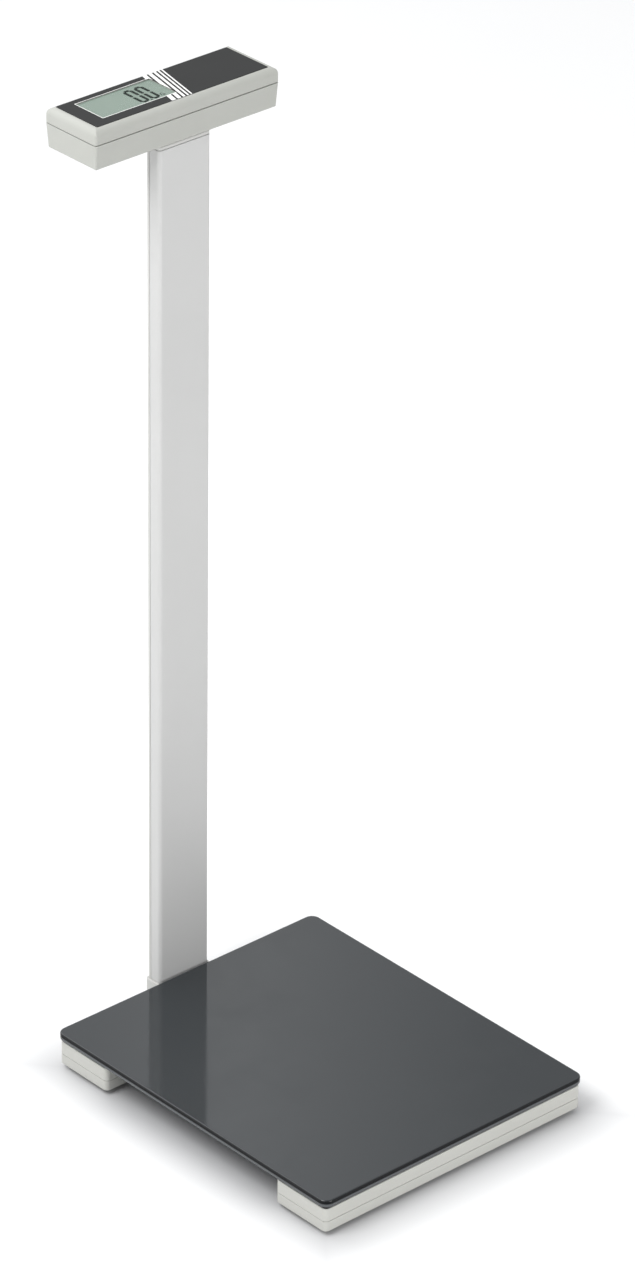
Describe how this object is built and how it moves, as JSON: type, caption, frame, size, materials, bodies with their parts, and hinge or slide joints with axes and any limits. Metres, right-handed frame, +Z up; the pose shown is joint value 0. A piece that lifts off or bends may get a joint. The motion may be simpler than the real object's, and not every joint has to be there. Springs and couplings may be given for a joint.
{
  "type": "electronic column scale",
  "caption": "Free-standing electronic column scale with a tinted glass weighing platform on two plastic rails, a flat column and a display head.",
  "frame": {"origin": "centre of the overall footprint at floor level", "axes": "+Z up along the column, +Y from the platform's front edge to the column, +X to the right of a person who stands on the platform and faces the display"},
  "size_m": [0.34, 0.4716, 1],
  "materials": {
    "tinted_glass": "polished float glass, grey tint",
    "gasket_rubber": "matte black",
    "pad_rubber": "matte dark grey",
    "rail_plastic": "fine spark-eroded texture, light grey",
    "column_plastic": "fine texture, light grey",
    "column_paint": "powder coated light grey",
    "head_plastic": "fine texture, light grey",
    "galvanised_steel": "galvanised",
    "zinc_steel": "zinc plated",
    "cell_aluminium": "milled",
    "circuit_board": "solder mask green",
    "lead_sheath": "grey sheath",
    "cable_sheath": "dark grey sheath",
    "printed_overlay": "dark grey printed film, satin",
    "clear_window": "clear, slightly matte",
    "display_glass": "grey-green reflective liquid-crystal glass in a dark frame",
    "switch_plastic": "black",
    "button_plastic": "mid grey",
    "contact_steel": "nickel plated",
    "cell_can": "printed sleeve on a metal can"
  },
  "bodies": {
    "scale": {"glass_plate": "tinted_glass", "front_gasket": "gasket_rubber", "rear_gasket": "gasket_rubber", "front_rail_top": "rail_plastic", "front_rail_base": "rail_plastic", "rear_rail_top": "rail_plastic", "rear_rail_base": "rail_plastic", "front_stiffener": "galvanised_steel", "rear_stiffener": "galvanised_steel", "load_cell_front_left": "cell_aluminium", "load_cell_front_right": "cell_aluminium", "load_cell_rear_left": "cell_aluminium", "load_cell_rear_right": "cell_aluminium", "load_cell_spacers": "galvanised_steel", "load_cell_screws": "zinc_steel", "rail_screws": "zinc_steel", "cable_duct": "galvanised_steel", "duct_screws": "zinc_steel", "junction_board": "circuit_board", "front_leads": "lead_sheath", "rear_leads": "lead_sheath", "column_bracket": "galvanised_steel", "bracket_bolts": "zinc_steel", "column_shoe": "column_plastic", "column_profile": "column_paint", "column_screws": "zinc_steel", "column_rear_strip": "column_plastic", "column_cap": "column_plastic", "signal_cable": "cable_sheath", "head_bracket": "galvanised_steel", "head_bracket_screws": "zinc_steel", "head_case": "head_plastic", "head_lid": "head_plastic", "head_screws": "zinc_steel", "overlay": "printed_overlay", "display_window": "clear_window", "display_module": "display_glass", "main_board": "circuit_board", "power_switch": "switch_plastic", "battery_tray": "switch_plastic", "battery_contacts": "contact_steel", "battery_cells": "cell_can"},
    "foot_front_left": {"foot_front_left": "zinc_steel", "pad_front_left": "pad_rubber"},
    "foot_front_right": {"foot_front_right": "zinc_steel", "pad_front_right": "pad_rubber"},
    "foot_rear_left": {"foot_rear_left": "zinc_steel", "pad_rear_left": "pad_rubber"},
    "foot_rear_right": {"foot_rear_right": "zinc_steel", "pad_rear_right": "pad_rubber"},
    "battery_door": {"battery_door": "head_plastic"},
    "power_button": {"power_button": "button_plastic"}
  },
  "joints": [
    {"name": "foot_front_left_screw", "type": "slide", "parent": "scale", "child": "foot_front_left", "axis": [0, 0, -1], "range_m": [0, 0.004]},
    {"name": "foot_front_right_screw", "type": "slide", "parent": "scale", "child": "foot_front_right", "axis": [0, 0, -1], "range_m": [0, 0.004]},
    {"name": "foot_rear_left_screw", "type": "slide", "parent": "scale", "child": "foot_rear_left", "axis": [0, 0, -1], "range_m": [0, 0.004]},
    {"name": "foot_rear_right_screw", "type": "slide", "parent": "scale", "child": "foot_rear_right", "axis": [0, 0, -1], "range_m": [0, 0.004]},
    {"name": "battery_door_hinge", "type": "hinge", "parent": "scale", "child": "battery_door", "pos_m": [-0.1013, 0.19925, 0.9604], "axis": [0, 1, 0], "range_deg": [0, 95]},
    {"name": "power_button_press", "type": "slide", "parent": "scale", "child": "power_button", "axis": [0, -1, 0], "range_m": [0, 0.0012], "stiffness_N_per_m": 1500}
  ]
}
